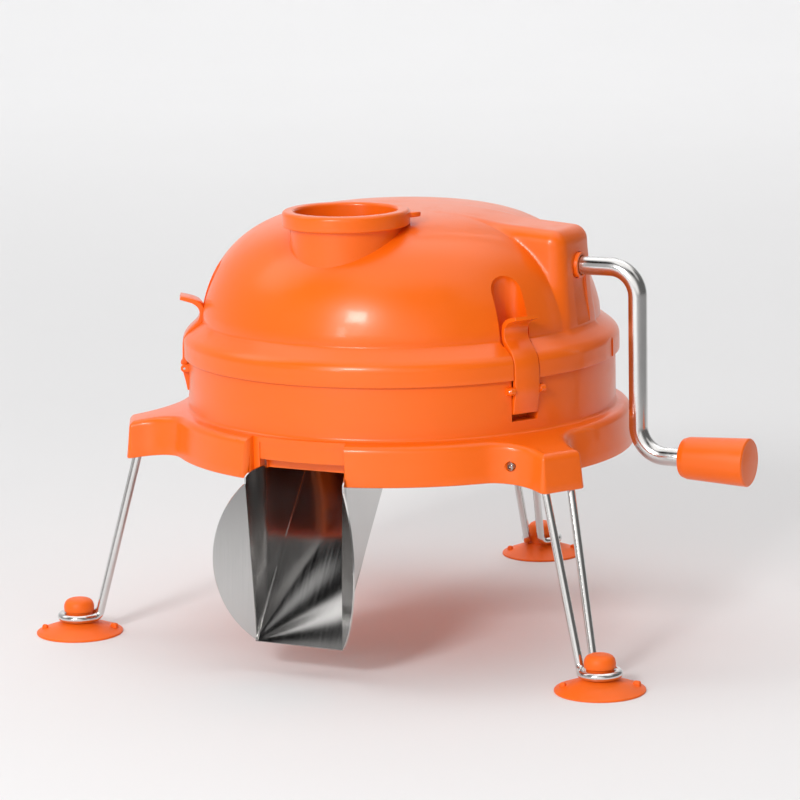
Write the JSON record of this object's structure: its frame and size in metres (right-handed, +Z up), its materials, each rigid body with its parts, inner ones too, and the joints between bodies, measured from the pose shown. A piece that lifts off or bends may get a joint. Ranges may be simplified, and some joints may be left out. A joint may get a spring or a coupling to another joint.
{
  "type": "rotary vegetable cutter",
  "caption": "Hand-cranked rotary vegetable cutter: domed lid with feed chimney and gear hump over a drum with cutting disc, steel chute, wire legs with suction cups.",
  "frame": {"origin": "centre of the footprint on the floor", "axes": "+Z up, the crank leaves along +X and the chute opens towards -Y"},
  "size_m": [0.3634, 0.3282, 0.2255],
  "materials": {
    "orange_plastic": "satin moulded plastic",
    "orange_rubber": "soft satin rubber",
    "polished_steel": "polished bright steel",
    "sheet_steel": "softly brushed stainless sheet",
    "white_nylon": "natural nylon",
    "dark_steel": "plain screw steel"
  },
  "bodies": {
    "housing": {"base_housing": "orange_plastic", "lid_dome": "orange_plastic", "crank_bush": "orange_plastic", "gear_cover": "orange_plastic", "suction_cup_1": "orange_rubber", "suction_cup_2": "orange_rubber", "suction_cup_3": "orange_rubber", "leg_wire_1": "polished_steel", "leg_wire_2": "polished_steel", "leg_wire_3": "polished_steel", "latch_pin_1": "polished_steel", "latch_pin_2": "polished_steel", "latch_pin_3": "polished_steel", "cover_screw_1": "polished_steel", "cover_screw_2": "polished_steel", "cover_screw_3": "polished_steel", "chute_rivet_1": "polished_steel", "chute_rivet_2": "polished_steel", "chute_rivet_3": "polished_steel", "chute_rivet_4": "polished_steel", "chute": "sheet_steel", "inner_bush": "white_nylon", "top_bush": "white_nylon", "cover_bush": "white_nylon", "base_bush": "white_nylon", "leg_screw_1": "dark_steel", "leg_screw_2": "dark_steel", "leg_screw_3": "dark_steel"},
    "crank": {"crank_rod": "polished_steel", "bevel_pinion": "white_nylon", "pinion_screw": "polished_steel", "thrust_washer": "polished_steel"},
    "rotor": {"bevel_gear": "white_nylon", "gear_screw": "polished_steel", "spindle": "polished_steel", "disc_hub": "orange_plastic", "cutting_disc": "sheet_steel", "slicing_blade": "polished_steel", "blade_rivet_1": "polished_steel", "blade_rivet_2": "polished_steel", "hub_rivet_1": "polished_steel", "hub_rivet_2": "polished_steel", "hub_rivet_3": "polished_steel", "disc_nut": "orange_plastic"},
    "grip": {"crank_grip": "orange_plastic"},
    "latch_back": {"latch_1": "orange_plastic"},
    "latch_left": {"latch_2": "orange_plastic"},
    "latch_right": {"latch_3": "orange_plastic"}
  },
  "joints": [
    {"name": "rotor_spin", "type": "hinge", "parent": "housing", "child": "rotor", "pos_m": [-0.01134, -0.02913, 0.142], "axis": [0, 0, 1], "continuous": true},
    {"name": "crank_spin", "type": "hinge", "parent": "housing", "child": "crank", "pos_m": [0.12126, -0.02913, 0.1943], "axis": [1, 0, 0], "continuous": true},
    {"name": "grip_spin", "type": "hinge", "parent": "crank", "child": "grip", "pos_m": [0.14466, -0.02913, 0.0998], "axis": [1, 0, 0], "continuous": true},
    {"name": "latch_back_hinge", "type": "hinge", "parent": "housing", "child": "latch_back", "pos_m": [-0.01134, 0.08307, 0.14], "axis": [-1, 0, 0], "range_deg": [0, 35]},
    {"name": "latch_left_hinge", "type": "hinge", "parent": "housing", "child": "latch_left", "pos_m": [-0.10851, -0.08523, 0.14], "axis": [0.5, -0.866, 0], "range_deg": [0, 35]},
    {"name": "latch_right_hinge", "type": "hinge", "parent": "housing", "child": "latch_right", "pos_m": [0.08583, -0.08523, 0.14], "axis": [0.5, 0.866, 0], "range_deg": [0, 35]}
  ],
  "couplings": [
    {"joint": "crank_spin", "follows": "rotor_spin", "ratio": 1.5}
  ]
}
